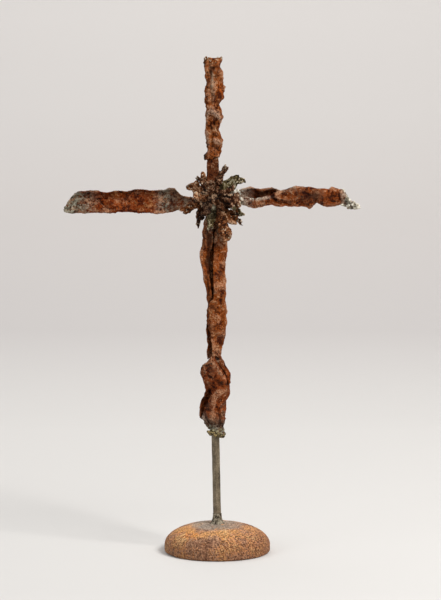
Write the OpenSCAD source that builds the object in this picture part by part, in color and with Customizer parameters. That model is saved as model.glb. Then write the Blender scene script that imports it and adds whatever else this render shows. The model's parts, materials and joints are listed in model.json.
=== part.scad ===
// Free-standing cross of crumpled, torch-cut sheet-iron scraps on a square rod and a domed base.
// Frame: X across the arms, Y from front to back, Z up, origin at the centre of the base on the floor.

/* [Base] */
// Outside diameter of the domed base
base_d = 114.3; // [90:0.1:150]
// Height of the domed base
base_h = 30.5; // [24:0.5:45]
// Height of the straight skirt below the dome
base_skirt = 8; // [5:0.5:14]
// Wall of the base, which is open below
base_wall = 6; // [3:0.5:9]
// Rounding of the outer lower edge
base_edge_r = 3; // [1:0.5:5]

/* [Rod] */
// Width of the square rod across its flats
rod_w = 6.35; // [5:0.05:7.5]
// Length of rod that shows between the base and the lowest scrap
rod_reach = 99.5; // [60:0.5:160]
// Length of rod hidden inside the lowest scrap
rod_grip = 15; // [8:1:30]
// Turn of the rod about its own length, in degrees
rod_turn = 42; // [0:1:90]
// Lean of the rod to the left, in degrees
rod_lean = 1.15; // [0:0.05:2]
// Radius of the weld flare on the base
foot_weld_r = 9; // [7:0.5:14]
// Height of the weld flare
foot_weld_h = 11; // [6:0.5:18]

/* [Sheet scraps] */
// Thickness of the rolled sheet
sheet_t = 1.8; // [1.2:0.1:2.4]
// Depth of the dents in the rolled sheet
dent = 0.7; // [0:0.1:1.2]
// Length of the lowest scrap
lower_len = 87; // [70:1:110]
// Length by which the long scrap's tail reaches below the top of the lowest one
tail_tuck = 7; // [4:0.5:10]
// Length of the long scrap below the hub
mid_len = 156; // [125:1:190]
// Length of the upper scrap
top_len = 105; // [80:1:140]
// Length of the left arm
arm_left_len = 144; // [110:1:180]
// Length of the right arm
arm_right_len = 137; // [110:1:170]

/* [Hub] */
// Height of the hub's middle above the top of the long scrap
hub_rise = 17; // [14:0.5:20]
// Offset of the hub's middle to the left of the base's middle
hub_shift = 5.7; // [3:0.1:8]
// Radius of the hub's core
hub_r = 10.5; // [9:0.5:12]
// Length of the neck strip between the hub and the upper scrap
neck_len = 42; // [36:1:50]
// Width of the neck strip
neck_w = 14.5; // [10:0.5:16]
// Thickness of the neck strip
neck_t = 3; // [2:0.2:4]
// Length of the neck strip held inside the upper scrap
neck_grip = 7; // [4:0.5:10]
// Thickness of the torch-cut petals
petal_t = 2.4; // [1.6:0.2:3.2]

/* [Hidden] */
// Facets round a bead of weld, round a lump of the hub, and round the turned base
bead_fn = 8;
lump_fn = 12;
turn_fn = 96;
// Steps along and across a rolled scrap, and along and across a petal
roll_steps = 18;
roll_span = 10;
petal_steps = 5;
petal_span = 3;

base_r = base_d / 2;
lower_z = base_h + rod_reach;
lower_top = lower_z + lower_len;
mid_z = lower_top - tail_tuck;
mid_top = mid_z + mid_len;
hub_z = mid_top + hub_rise;
hub_x = -hub_shift;
neck_z = hub_z + 9;
top_z = neck_z + neck_len - neck_grip;
arm_z = hub_z - 3;
arm_left_x = hub_x - 11.3;
arm_right_x = hub_x + 18.7;

// Stations along a scrap, from its hub end or lower end: share of the length, lower edge, upper edge,
// middle depth, half depth, middle and half width of the open gap in degrees. Angle 0 faces the front.
LOWER = [
    [0.00, -10, 10.5, 0, 8.2, -95, 26], [0.10, -14.5, 9.5, 0, 8.8, -100, 12],
    [0.16, -19, 10.5, 0, 8.8, -95, 6], [0.25, -19.8, 10.6, 0, 8.8, -78, 6],
    [0.35, -19.8, 12.4, 0, 8.8, -62, 17], [0.41, -18.8, 11.8, 0, 8.8, -56, 24],
    [0.47, -15.2, 14.8, -0.4, 8.8, -52, 20], [0.55, -12.4, 15, -0.8, 8.6, -55, 6],
    [0.65, -15.4, 15.8, -1.2, 8.4, -182, 6], [0.75, -17.6, 14.8, -1.6, 7.8, -182, 24],
    [0.85, -17.6, 10, -2.4, 6.4, -182, 64], [0.92, -12.4, 7.4, -3.2, 5.2, -180, 104],
    [1.00, -7.5, 1.5, -3.8, 4.6, -180, 112]];
MID = [
    [0.00, -12.7, 5, 4.2, 5, -72, 62], [0.04, -12.7, 6, 4.2, 5.6, -74, 48],
    [0.10, -13, 9.2, 4, 6.6, -66, 34], [0.16, -13.5, 10.4, 4, 7.4, -50, 15],
    [0.24, -14.3, 11.5, 4, 8, -36, 5], [0.39, -11.6, 10.4, 4, 8, -22, 5],
    [0.46, -14.3, 10.4, 4, 8, -16, 8], [0.53, -15.8, 9.3, 4, 8, -16, 12],
    [0.60, -16.8, 8.8, 4, 8, -15, 14], [0.67, -19.3, 9.6, 4, 8, -13, 14],
    [0.74, -19.6, 12.4, 4, 8.2, -8, 9], [0.82, -18.8, 11.5, 4, 8.2, -3, 5],
    [0.88, -17.8, 8.4, 4, 8, 2, 7], [0.94, -16.4, 3, 4, 7.4, 40, 44],
    [1.00, -14.6, -1, 4, 6.4, 62, 74]];
TOP = [
    [0.00, -15, 7.2, 2, 6.6, -104, 22], [0.04, -14.2, 7.2, 2, 7, -106, 18],
    [0.09, -11.6, 7.1, 2, 7.4, -110, 10], [0.18, -10.2, 9.3, 2, 7.8, -112, 7],
    [0.29, -11, 5.2, 2, 7.4, -112, 12], [0.41, -11, 9.2, 2, 7.8, -108, 22],
    [0.54, -12, 7.2, 2, 7.6, -106, 25], [0.59, -13.1, 10.3, 2, 7.8, -108, 18],
    [0.71, -14.2, 10.3, 2, 7.6, -110, 8], [0.84, -12.2, 8.2, 2, 7, -100, 8],
    [0.90, -14.2, 7.1, 2, 6.4, -74, 14], [0.95, -14.2, 8.2, 2, 5.8, -66, 20],
    [1.00, -12.6, 8, 2, 5, -60, 16]];
LEFT = [
    [0.00, -8, 4, 4, 4.4, 0, 62], [0.10, -9.6, 5, 4, 5, 0, 64],
    [0.16, -11, 8, 4, 5.6, 2, 66], [0.20, -12.1, 14.4, 4, 6.4, 0, 68],
    [0.35, -13.2, 12.6, 4, 6.6, -2, 68], [0.49, -14.3, 14.6, 4, 6.8, 0, 70],
    [0.55, -14.3, 12.6, 4, 6.8, 3, 66], [0.70, -13.2, 11.5, 4, 6.6, 4, 60],
    [0.80, -14.3, 12.6, 4, 6.4, 0, 58], [0.90, -13.2, 11.5, 4, 6, -4, 64],
    [0.94, -14.3, 7.4, 4, 5.4, -8, 70], [1.00, -12.4, -5.4, 4, 3.4, -6, 62]];
RIGHT = [
    [0.00, -8, 9, 3, 4.4, 30, 30], [0.10, -5.8, 14.4, 3, 5.4, 28, 34],
    [0.16, -9, 16.8, 3.4, 6.6, 28, 36], [0.20, -10, 15.6, 4, 7, 30, 34],
    [0.27, -7, 14.6, 4, 7.2, 34, 32], [0.33, -5.8, 15.6, 4, 7.2, 46, 28],
    [0.40, -6.8, 13.8, 4, 7.4, 80, 20], [0.46, -6.8, 16.8, 4, 7.6, 120, 14],
    [0.58, -7.6, 16.8, 4, 7.6, 150, 12], [0.64, -8.8, 16.8, 4, 7.6, 152, 14],
    [0.68, -4, 15.8, 4, 7.2, 152, 16], [0.71, -6.8, 15.8, 4, 7.4, 150, 14],
    [0.76, -8.4, 14.8, 4, 7.4, 148, 12], [0.82, -6.8, 15.8, 4, 7, 148, 14],
    [0.88, -6, 12.4, 4, 6.2, 140, 22], [0.92, -10.4, 5, 4, 5, 120, 34],
    [1.00, -8.8, -1.6, 4, 3, 90, 40]];

// Petals: direction in degrees from the right arm upward, reach from the hub's middle, width,
// depth of the root, lean to the front in degrees, sideways hook, share of the width left at the tip.
PETALS = [
    [146, 28, 17, 6, 0, -3, 0.8], [122, 31, 6, 3, 2, 5, 0.7],
    [114, 28, 7, -3, 3, -7, 0.6], [69, 36, 7, -4, 0, 3, 1],
    [56, 30, 8, 6, -4, -5, 0.9], [42, 37, 12, -1, 2, 5, 0.95],
    [20, 26, 9, -7, 18, -4, 0.9], [-12, 31, 16, -7, 4, -3, 0.85],
    [-22, 38, 7, 1, 0, 4, 0.5], [-40, 35, 14, -3, 2, 3, 1],
    [-45, 42, 5, 3, 0, -4, 0.9], [-64, 49, 12, -8, 1, 6, 1],
    [-88, 32, 9, -7, 18, 3, 0.8], [212, 34, 10, -4, 2, 5, 0.7],
    [233, 34, 9, 1, 0, -5, 0.9], [100, 20, 9, -7, 30, 2, 0.9],
    [165, 20, 8, -7, 26, -2, 0.8], [250, 22, 8, -7, 27, 2, 0.9],
    [312, 20, 8, -7, 33, -2, 0.8]];
petal_count = len(PETALS);

function scatter(a, b) = let (v = sin(a * 127.1 + b * 311.7) * 4375.85) 2 * (v - floor(v)) - 1;
function column(rows, k) = [for (r = rows) [r[0], r[k]]];
function station(rows, u) = [for (k = [1:6]) lookup(u, column(rows, k))];
function dents(u, a, seed) =
    dent * (sin(a * 2 + u * 900 + seed * 70) + 0.8 * sin(a * 3 - u * 1500 + seed * 40)) / 1.8;

// Outer and inner point at angle a of a section, pushed in and out by its dents. The wall lies
// behind the outer point square to the sheet, or straight back where the piece is a flat plate.
function wall_pair(s, a, u, t, seed, bumps, plate) =
    let (half = (s[1] - s[0]) / 2,
         mid = (s[1] + s[0]) / 2,
         out = [sin(a) / half, -cos(a) / s[3]],
         n = out / norm(out),
         p = [mid + half * sin(a), s[2] - s[3] * cos(a)] + n * bumps * dents(u, a, seed) - n * bumps * dent)
    [p, p - (plate ? [0, -1] : n) * t];

// Grid of points of a sheet scrap that runs up Z: slants shear its two ends, rags tear them
function scrap_points(rows, length, t, steps, span, slants, rag, seed, bumps, plate = false) =
    [for (i = [0:steps], j = [0:span])
        let (u = i / steps,
             s = station(rows, u),
             a = s[4] + s[5] + (360 - 2 * s[5]) * j / span,
             tear = rag * scatter(j, seed + (u > 0.5 ? 9 : 0)) * pow(abs(2 * u - 1), 6),
             pair = wall_pair(s, a, u, t, seed, bumps, plate),
             z = length * u + tear + sin(a) * (slants[0] * pow(1 - u, 5) + slants[1] * pow(u, 5)))
        for (p = pair) [p[0], p[1], z]];

// The two triangles of a four-cornered patch, its corners in turn
function patch(p, q, r, s) = [[p, q, r], [p, r, s]];

function scrap_faces(steps, span) =
    let (at = function(i, j, side) (i * (span + 1) + j) * 2 + side)
    concat(
        [for (i = [0:steps - 1], j = [0:span - 1])
            each concat(patch(at(i, j, 0), at(i + 1, j, 0), at(i + 1, j + 1, 0), at(i, j + 1, 0)),
                        patch(at(i, j, 1), at(i, j + 1, 1), at(i + 1, j + 1, 1), at(i + 1, j, 1)))],
        [for (i = [0:steps - 1])
            each concat(patch(at(i + 1, 0, 0), at(i, 0, 0), at(i, 0, 1), at(i + 1, 0, 1)),
                        patch(at(i, span, 0), at(i + 1, span, 0), at(i + 1, span, 1), at(i, span, 1)))],
        [for (j = [0:span - 1])
            each concat(patch(at(0, j, 0), at(0, j + 1, 0), at(0, j + 1, 1), at(0, j, 1)),
                        patch(at(steps, j + 1, 0), at(steps, j, 0), at(steps, j, 1), at(steps, j + 1, 1)))]);

module scrap(rows, length, slants = [0, 0], rag = 1.5, seed = 1)
    polyhedron(scrap_points(rows, length, sheet_t, roll_steps, roll_span, slants, rag, seed, 1),
               scrap_faces(roll_steps, roll_span));

// A scrap laid along X, its lower edge down, leftward or rightward from the hub
module leftward() rotate([0, -90, 0]) children();
module rightward() mirror([1, 0, 0]) rotate([0, -90, 0]) children();

// A bead of weld metal between two places
module lump(p, r, q, s, facets = lump_fn)
    hull() {
        translate(p) sphere(r, $fn = facets);
        translate(q) sphere(s, $fn = facets);
    }

// The pressed steel cap with a flat crown as wide as the weld flare
function dome_profile(r, h, skirt, crown, edge) = concat(
    [for (a = [0:30:60]) [r - edge + edge * sin(a), edge - edge * cos(a)]],
    [for (a = [0:6:90]) [crown + (r - crown) * cos(a), skirt + (h - skirt) * sin(a)]]);

module base_dome() color([0.5, 0.3, 0.18])
    rotate_extrude($fn = turn_fn) polygon(concat(
        dome_profile(base_r, base_h, base_skirt, foot_weld_r, base_edge_r),
        [[0, base_h], [0, base_h - base_wall]],
        [for (a = [90:-6:0]) [foot_weld_r + (base_r - base_wall - foot_weld_r) * cos(a),
                              base_skirt + (base_h - base_wall - base_skirt) * sin(a)]],
        [[base_r - base_wall, 0]]));

module rod() color([0.36, 0.34, 0.27]) translate([0, 0, base_h]) rod_bar(0);

// The bar leans from the middle of the crown, with its foot cut level
module rod_bar(extra) intersection() {
    rotate([0, -rod_lean, 0]) rotate([0, 0, rod_turn])
        translate([-rod_w / 2, -rod_w / 2, -2]) cube([rod_w, rod_w, 2 + rod_reach + rod_grip + extra]);
    translate([-base_r, -base_r, 0]) cube([base_d, base_d, lower_z + lower_len]);
}

module rod_foot_weld() color([0.4, 0.36, 0.3]) translate([0, 0, base_h]) difference() {
    rotate_extrude($fn = turn_fn) polygon(concat([[0, 0]],
        [for (a = [0:15:90])
            [foot_weld_r - (foot_weld_r - rod_w * 0.66) * sin(a), foot_weld_h * (1 - cos(a))]],
        [[0, foot_weld_h]]));
    rod_bar(0);
}

module lower_solid() translate([0, 0, lower_z]) scrap(LOWER, lower_len, [-1.5, 3], 2.2, 3);
module mid_solid() translate([0, 0, mid_z]) scrap(MID, mid_len, [1, -1], 1.6, 5);
module top_solid() translate([0, 0, top_z]) scrap(TOP, top_len, [2, 0.5], 1.8, 8);
module left_solid() translate([arm_left_x, 0, arm_z])
    leftward() scrap(LEFT, arm_left_len, [0, -3], 1.6, 12);
module right_solid() translate([arm_right_x, 0, arm_z])
    rightward() scrap(RIGHT, arm_right_len, [0, -2], 2, 15);

// The lowest scrap is opened out where the rod's corners would cut into it
module lower_roll() color([0.42, 0.2, 0.13]) difference() {
    lower_solid();
    translate([0, 0, base_h]) rod_bar(0);
}
module mid_roll() color([0.45, 0.22, 0.13]) mid_solid();
module top_roll() color([0.47, 0.22, 0.13]) top_solid();
module arm_left() color([0.45, 0.25, 0.15]) left_solid();
module arm_right() color([0.43, 0.2, 0.13]) right_solid();

// Weld metal round the head of the rod, wrapped round the lowest scrap's lower edge
module rod_head_weld() color([0.5, 0.45, 0.28]) difference() {
    translate([-2, 0, lower_z]) {
        for (i = [0:6])
            let (a = i * 52, r = 5.2 + scatter(i, 4))
            lump([r * cos(a), r * 0.9 * sin(a), -1.6 + 0.8 * scatter(i, 9)], 2.6,
                 [3.4 * cos(a), 3.4 * sin(a), 7], 1.8, bead_fn);
        lump([3, -4.4, -1.5], 2.6, [8.6, -5, -3.4], 2.2, bead_fn);
        lump([-2, -5, -1], 2.6, [-7, -5.6, 1.4], 2, bead_fn);
    }
    translate([0, 0, base_h]) rod_bar(2);
    lower_solid();
}

// Weld beads under the long scrap's tail that tie it to the lowest scrap's upper tongue
module mid_weld() color([0.35, 0.24, 0.17]) difference() {
    translate([0, 0, mid_z - 1])
        for (i = [0:7])
            let (x = -6 + 1.3 * i, z = 0.7 * scatter(i, 6))
            lump([x, -4.6, z], 2.3, [x + 1, 1 + scatter(i, 2), z - 0.4], 2.2, bead_fn);
    lower_solid();
    mid_solid();
}

// The strip is a chain of short plates, each a little out of line with the last
module neck_raw() for (i = [0:9])
    hull() for (k = [i, i + 1])
        let (u = k / 10, w = neck_w * (1 - 0.2 * u) + 0.8 * scatter(k, 3))
        translate([hub_x + 1 - w / 2, 1 + 0.6 * scatter(k, 5), neck_z + neck_len * u])
            cube([w, neck_t, 0.2]);

module neck_strip() color([0.42, 0.2, 0.12]) difference() {
    neck_raw();
    top_solid();
}

// The lumps of the hub: a core, four roots toward the scraps and smaller beads between them
module hub_solid() translate([hub_x, 0, hub_z]) {
    lump([0, -1, 0], hub_r, [0, 3, -2], hub_r - 2);
    lump([-2, 1, -3], hub_r - 3, [-15, 3, -5], 6);
    lump([2, 1, -1], hub_r - 3, [19, 3, 0], 5.4);
    lump([0, 1, 3], hub_r - 3, [0, 2.4, 14], 5);
    lump([-2, 1, -6], hub_r - 3, [-3, 3, -18], 6);
    lump([-3, 3, -17], 6, [-3, 4, -31], 4.8);
    for (i = [0:5])
        let (a = 35 + 58 * i, r = hub_r * 0.8)
        lump([r * cos(a) * 0.6, -5, r * sin(a) * 0.6], 4.4,
             [r * cos(a) * 1.3, -6 + scatter(i, 3), r * sin(a) * 1.3], 3.2, bead_fn);
}

module scraps() {
    left_solid();
    right_solid();
    mid_solid();
    neck_raw();
}

module rosette_hub() color([0.25, 0.2, 0.17]) difference() {
    hub_solid();
    scraps();
}

// Stations of a petal: jagged edges, a hook to one side, a narrower root and tip
function petal_rows(p, seed) = [for (i = [0:petal_steps])
    let (u = i / petal_steps,
         w = p[2] / 2 * (u < 0.35 ? 0.6 + 1.1 * u : u > 0.7 ? 1 - (1 - p[6]) * (u - 0.7) / 0.3 : 1),
         c = p[5] * u * u)
    [u, c - w * (1 + 0.42 * scatter(i, seed)), c + w * (1 + 0.42 * scatter(i, seed + 7)),
     0.8 * scatter(i, seed + 3), 1.8, 180, 112]];

module petal_solid(i) let (p = PETALS[i - 1])
    translate([hub_x, p[3], hub_z]) rotate([0, 90 - p[0], 0]) rotate([p[4], 0, 0])
        polyhedron(
            scrap_points(petal_rows(p, i), p[1], petal_t, petal_steps, petal_span, [0, 0], 2.2, i, 0.6, true),
            scrap_faces(petal_steps, petal_span));

module petal(i) color([0.3 + 0.08 * scatter(i, 1), 0.2, 0.15]) difference() {
    petal_solid(i);
    hub_solid();
    scraps();
    for (k = [1:1:i - 1]) petal_solid(k);
}

base_dome();
rod();
rod_foot_weld();
rod_head_weld();
lower_roll();
mid_weld();
mid_roll();
arm_left();
arm_right();
neck_strip();
top_roll();
rosette_hub();
for (i = [1:petal_count]) petal(i);
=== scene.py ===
import json
import math
import bmesh
import bpy
import numpy as np
from mathutils import Matrix, Vector

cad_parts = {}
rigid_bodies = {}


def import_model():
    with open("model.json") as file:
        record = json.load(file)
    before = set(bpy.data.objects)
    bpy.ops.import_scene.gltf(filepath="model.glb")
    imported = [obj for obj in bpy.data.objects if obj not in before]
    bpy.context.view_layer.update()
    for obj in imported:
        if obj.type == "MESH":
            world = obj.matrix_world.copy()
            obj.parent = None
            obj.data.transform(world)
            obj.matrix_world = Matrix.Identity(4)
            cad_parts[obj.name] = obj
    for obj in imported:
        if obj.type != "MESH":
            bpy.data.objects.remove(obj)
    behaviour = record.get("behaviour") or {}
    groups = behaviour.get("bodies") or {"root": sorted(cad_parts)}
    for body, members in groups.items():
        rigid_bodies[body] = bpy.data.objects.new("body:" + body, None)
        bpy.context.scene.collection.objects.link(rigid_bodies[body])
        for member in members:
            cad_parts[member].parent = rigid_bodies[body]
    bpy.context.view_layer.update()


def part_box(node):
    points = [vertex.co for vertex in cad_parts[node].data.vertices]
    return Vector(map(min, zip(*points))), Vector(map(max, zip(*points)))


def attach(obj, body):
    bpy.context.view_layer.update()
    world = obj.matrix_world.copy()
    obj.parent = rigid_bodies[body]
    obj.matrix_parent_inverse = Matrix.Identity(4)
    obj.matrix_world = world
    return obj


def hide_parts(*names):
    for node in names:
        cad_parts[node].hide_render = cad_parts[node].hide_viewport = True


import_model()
MM = 0.001

# ---------------------------------------------------------------------------------------------
# Base: a pressed steel cap about 114 mm across, open below, that stands on its rim.
# Its scale has rusted orange and grey in patches, with a crackled skirt.
# ---------------------------------------------------------------------------------------------


def tone(red, green, blue):
    """A colour written as it looks, from 0 to 255, as the shader's own linear values."""
    return tuple((c / 255) ** 2.2 for c in (red, green, blue)) + (1.0,)


def grain(points, size, seed):
    """Smooth repeatable noise from -1 to 1, in lumps about `size` millimetres across."""
    cell = points / size + seed * 17.3
    low = np.floor(cell).astype(np.int64)
    part = cell - low
    part = part * part * (3 - 2 * part)
    total = np.zeros(points.shape[:-1])
    for corner in range(8):
        pick = np.array([corner & 1, corner >> 1 & 1, corner >> 2 & 1])
        n = (low + pick) @ np.array([73856093, 19349663, 83492791])
        n = (n ^ (n >> 13)) * 1274126177 & 0x7FFFFFFF
        n = (n ^ (n >> 15)) * 668265263 & 0x7FFFFFFF
        weight = np.prod(np.where(pick, part, 1 - part), axis=-1)
        total += weight * ((n >> 7 & 0xFFFF) / 32767.5 - 1)
    return total


def crust(points, seed, coarse):
    """Rust crust, about -1 to 1: lumps `coarse` millimetres across, sharp ridges and specks."""
    warped = points + 1.2 * np.stack([grain(points, 4.0, seed + k) for k in (1, 2, 3)], axis=-1)
    lumps = grain(warped, coarse, seed + 4)
    ridges = 1 - 2 * np.abs(grain(warped, coarse * 0.55, seed + 5))
    specks = grain(points, coarse * 0.22, seed + 6)
    return 0.5 * lumps + 0.35 * ridges + 0.3 * specks


def make_mesh(name, points, faces, marks=None):
    """A mesh object from points in millimetres, with one number per point for each mark."""
    mesh = bpy.data.meshes.new(name)
    mesh.from_pydata((np.asarray(points) * MM).tolist(), [], faces)
    for mark, values in (marks or {}).items():
        data = mesh.attributes.new(mark, "FLOAT", "POINT").data
        data.foreach_set("value", np.asarray(values, dtype=np.float32).ravel())
    obj = bpy.data.objects.new(name, mesh)
    bpy.context.collection.objects.link(obj)
    return obj


def grid_faces(rows, columns, closed):
    """Four-cornered faces over a grid of points; closed joins the last column to the first."""
    faces = []
    for i in range(rows - 1):
        for j in range(columns if closed else columns - 1):
            here, beside = i * columns + j, i * columns + (j + 1) % columns
            faces.append((here, beside, beside + columns, here + columns))
    return faces


def settle(obj):
    """Replaces an object's mesh by the result of its modifiers and smooths its shading."""
    graph = bpy.context.evaluated_depsgraph_get()
    mesh = bpy.data.meshes.new_from_object(obj.evaluated_get(graph))
    obj.modifiers.clear()
    old, obj.data = obj.data, mesh
    bpy.data.meshes.remove(old)
    mesh.shade_smooth()
    return obj


def read_points(mesh):
    """The mesh's points and normals, in millimetres."""
    points = np.empty(len(mesh.vertices) * 3)
    normals = np.empty(len(mesh.vertices) * 3)
    mesh.vertices.foreach_get("co", points)
    mesh.vertices.foreach_get("normal", normals)
    return points.reshape(-1, 3) / MM, normals.reshape(-1, 3)


def keep_mark(obj, name, values):
    """Keeps one number per point on a mesh, for its material or its beads to read."""
    mark = obj.data.attributes.get(name) or obj.data.attributes.new(name, "FLOAT", "POINT")
    mark.data.foreach_set("value", np.asarray(values, dtype=np.float32))


def roughen(obj, height, seed, coarse):
    """Raises the crust on a surface and keeps its height as the mark `relief`."""
    points, normals = read_points(obj.data)
    relief = crust(points, seed, coarse)
    moved = points + normals * (height * relief)[:, None]
    obj.data.vertices.foreach_set("co", (moved * MM).ravel())
    keep_mark(obj, "relief", relief)
    obj.data.update()


class Finish:
    """A node material under construction."""

    def __init__(self, name):
        self.material = bpy.data.materials.new(name)
        self.material.use_nodes = True
        self.tree = self.material.node_tree
        self.shader = self.tree.nodes["Principled BSDF"]
        self.place = self.add("ShaderNodeTexCoord").outputs["Object"]

    def add(self, kind, settings=None, **inputs):
        """A node with its inputs set or linked; i0, i1 and so on name an input by its number."""
        node = self.tree.nodes.new(kind)
        for key, value in (settings or {}).items():
            setattr(node, key, value)
        for key, value in inputs.items():
            by_number = key[0] == "i" and key[1:].isdigit()
            socket = node.inputs[int(key[1:]) if by_number else key]
            if isinstance(value, bpy.types.NodeSocket):
                self.tree.links.new(value, socket)
            else:
                socket.default_value = value
        return node

    def noise(self, scale, detail, rough, warp=0.0, turn=0.0):
        """Noise with `scale` lumps to a metre; the turn moves it off the other patterns."""
        place = self.add("ShaderNodeMapping", Vector=self.place, Location=(turn, turn * 0.7, turn * 1.3))
        node = self.add("ShaderNodeTexNoise", Vector=place.outputs[0], Scale=scale, Detail=detail,
                        Roughness=rough, Distortion=warp)
        return node.outputs["Fac"]

    def mark(self, name):
        """The number that the mesh keeps at each point under this name."""
        return self.add("ShaderNodeAttribute", {"attribute_name": name}).outputs["Fac"]

    def sums(self, operation, a, b, clamp=False):
        """The result of one sum on two values or node outputs."""
        settings = {"operation": operation, "use_clamp": clamp}
        return self.add("ShaderNodeMath", settings, i0=a, i1=b).outputs[0]

    def times(self, a, b, clamp=False):
        return self.sums("MULTIPLY", a, b, clamp)

    def weighed(self, first, *others):
        """The sum of values, each given with its weight."""
        total = self.times(*first)
        for other in others:
            total = self.sums("ADD", total, self.times(*other))
        return total

    def span(self, value, low, high, to_low=0.0, to_high=1.0):
        """The value taken from low to high, brought to 0 to 1 or to another span, and held there."""
        limits = {"From Min": low, "From Max": high, "To Min": to_low, "To Max": to_high}
        return self.add("ShaderNodeMapRange", Value=value, **limits).outputs[0]

    def ramp(self, value, stops):
        """A colour for each value, blended between stops of a position and a colour."""
        node = self.add("ShaderNodeValToRGB", Fac=value)
        band = node.color_ramp
        for element, (position, colour) in zip(band.elements, (stops[0], stops[-1])):
            element.position = position
            element.color = colour
        for position, colour in stops[1:-1]:
            band.elements.new(position).color = colour
        return node.outputs["Color"]

    def mix(self, share, under, over):
        """One colour laid over another by a share; inputs 6 and 7 of the node are its colours."""
        node = self.add("ShaderNodeMix", {"data_type": "RGBA"}, i0=share, i6=under, i7=over)
        return node.outputs[2]

    def finish(self, colour, roughness, height, depth, metal=0.0, specular=0.5):
        links = self.tree.links
        links.new(colour, self.shader.inputs["Base Color"])
        links.new(roughness, self.shader.inputs["Roughness"])
        bump = self.add("ShaderNodeBump", Height=height, Strength=1.0, Distance=depth)
        links.new(bump.outputs[0], self.shader.inputs["Normal"])
        self.shader.inputs["Metallic"].default_value = metal
        self.shader.inputs["Specular IOR Level"].default_value = specular
        return self.material


def base_rust():
    """Orange and grey rust in broad patches, speckled dark, darker toward the skirt, with painted shade in
    the low places of its crust.
    """
    f = Finish("base_rust")
    skirt = f.mark("skirt")
    broad = f.noise(38, 4, 0.6, 0.5)
    speck = f.noise(420, 4, 0.75, 0.3, 3.1)
    colour = f.ramp(f.weighed((broad, 0.6), (speck, 0.45)), [
        (0.43, tone(126, 70, 34)), (0.47, tone(188, 128, 86)), (0.51, tone(220, 170, 132)),
        (0.55, tone(240, 140, 54)), (0.60, tone(252, 196, 128))])
    grey = f.span(f.noise(34, 3, 0.55, 1.6, 8.9), 0.37, 0.45)
    grey = f.times(grey, f.span(skirt, 0.07, 0.15, 0.85, 0.25))
    colour = f.mix(grey, colour, f.mix(speck, tone(126, 116, 106), tone(206, 188, 168)))
    crackle = f.add("ShaderNodeTexVoronoi", Vector=f.place, Scale=620.0).outputs["Distance"]
    glow = f.times(f.span(crackle, 0.45, 0.15), f.span(broad, 0.46, 0.56))
    colour = f.mix(f.times(glow, 0.7), colour, tone(238, 158, 78))
    belt = f.times(f.span(skirt, 0.1, 0.2), f.span(skirt, 0.6, 0.35))
    belt = f.times(belt, f.span(f.noise(46, 3, 0.6, 0.8, 6.3), 0.45, 0.56))
    colour = f.mix(f.times(belt, 0.7), colour, f.mix(speck, tone(200, 104, 36), tone(255, 206, 130)))
    right = f.span(f.add("ShaderNodeSeparateXYZ", Vector=f.place).outputs["X"], 0.005, 0.05)
    colour = f.mix(f.times(right, 0.4), colour, f.mix(speck, tone(120, 56, 30), tone(232, 158, 116)))
    pits = f.span(f.noise(560, 4, 0.75, 0.6, 1.9), 0.52, 0.58)
    colour = f.mix(f.times(pits, f.span(skirt, 0.0, 0.5, 0.35, 0.9)), colour, tone(58, 30, 18))
    # painted shade: the low places of the rust crust are darkened
    painted_hollow_shade = f.span(f.mark("relief"), -0.15, -0.75)
    colour = f.mix(f.times(painted_hollow_shade, 0.7), colour, tone(84, 50, 30))
    shade = f.span(skirt, 0.2, 1.0, 0.0, 0.5)
    colour = f.mix(shade, colour, f.mix(speck, tone(84, 48, 28), tone(150, 94, 54)))
    height = f.weighed((speck, 0.6), (pits, -0.6), (crackle, -0.4))
    return f.finish(colour, f.span(speck, 0.3, 0.7, 0.62, 0.9), height, 0.0018, specular=0.3)


def dome_surface():
    """The cap's closed skin, worked out from the frame: crown, dome, skirt, rim and hollow."""
    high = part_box("base_dome")[1]
    radius, height = high[0] / MM, high[2] / MM
    crown, skirt, wall, edge = 9.0, 8.0, 6.0, 3.0
    turns, pole, outline = 320, 0.01, []
    for k in range(5):  # flat crown
        outline.append((crown * k / 5 + pole, height, 0.0))
    for k in range(64):  # dome
        a = math.radians(90 - 90 * k / 63)
        outline.append((crown + (radius - crown) * math.cos(a), skirt + (height - skirt) * math.sin(a),
                        min(1.0, k / 50) ** 2))
    for k in range(1, 7):  # upright skirt
        outline.append((radius, skirt + (edge - skirt) * k / 6, 1.0))
    for k in range(1, 7):  # rounded rim
        a = math.radians(90 * k / 6)
        outline.append((radius - edge + edge * math.cos(a), edge - edge * math.sin(a), 1.0))
    outline.append((radius - wall, 0.0, 1.0))
    for k in range(1, 5):  # inside of the skirt
        outline.append((radius - wall, skirt * k / 4, 1.0))
    for k in range(1, 40):  # inside of the dome
        a = math.radians(90 * k / 39)
        outline.append((crown + (radius - wall - crown) * math.cos(a),
                        skirt + (height - wall - skirt) * math.sin(a), 0.8))
    outline.append((pole, height - wall, 0.8))
    r, z, skirt_mark = (np.array(c)[:, None] for c in zip(*outline))
    a = np.linspace(0, 2 * math.pi, turns, endpoint=False)[None, :]
    points = np.stack([r * np.cos(a), r * np.sin(a), z + 0 * a], axis=-1)
    obj = make_mesh("cap", points.reshape(-1, 3), grid_faces(len(outline), turns, True),
                    {"skirt": (skirt_mark + 0 * a)})
    shape = bmesh.new()
    shape.from_mesh(obj.data)
    bmesh.ops.remove_doubles(shape, verts=shape.verts, dist=0.05 * MM)
    bmesh.ops.recalc_face_normals(shape, faces=shape.faces)
    shape.to_mesh(obj.data)
    shape.free()
    obj.data.shade_smooth()
    return obj


cap = dome_surface()
roughen(cap, height=0.28, seed=11, coarse=3.2)
cap_points, _ = read_points(cap.data)
cap_points[:, 2] = np.maximum(cap_points[:, 2], 0)
cap.data.vertices.foreach_set("co", (cap_points * MM).ravel())
cap.data.materials.append(base_rust())
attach(cap, "root")
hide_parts("base_dome")

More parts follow.
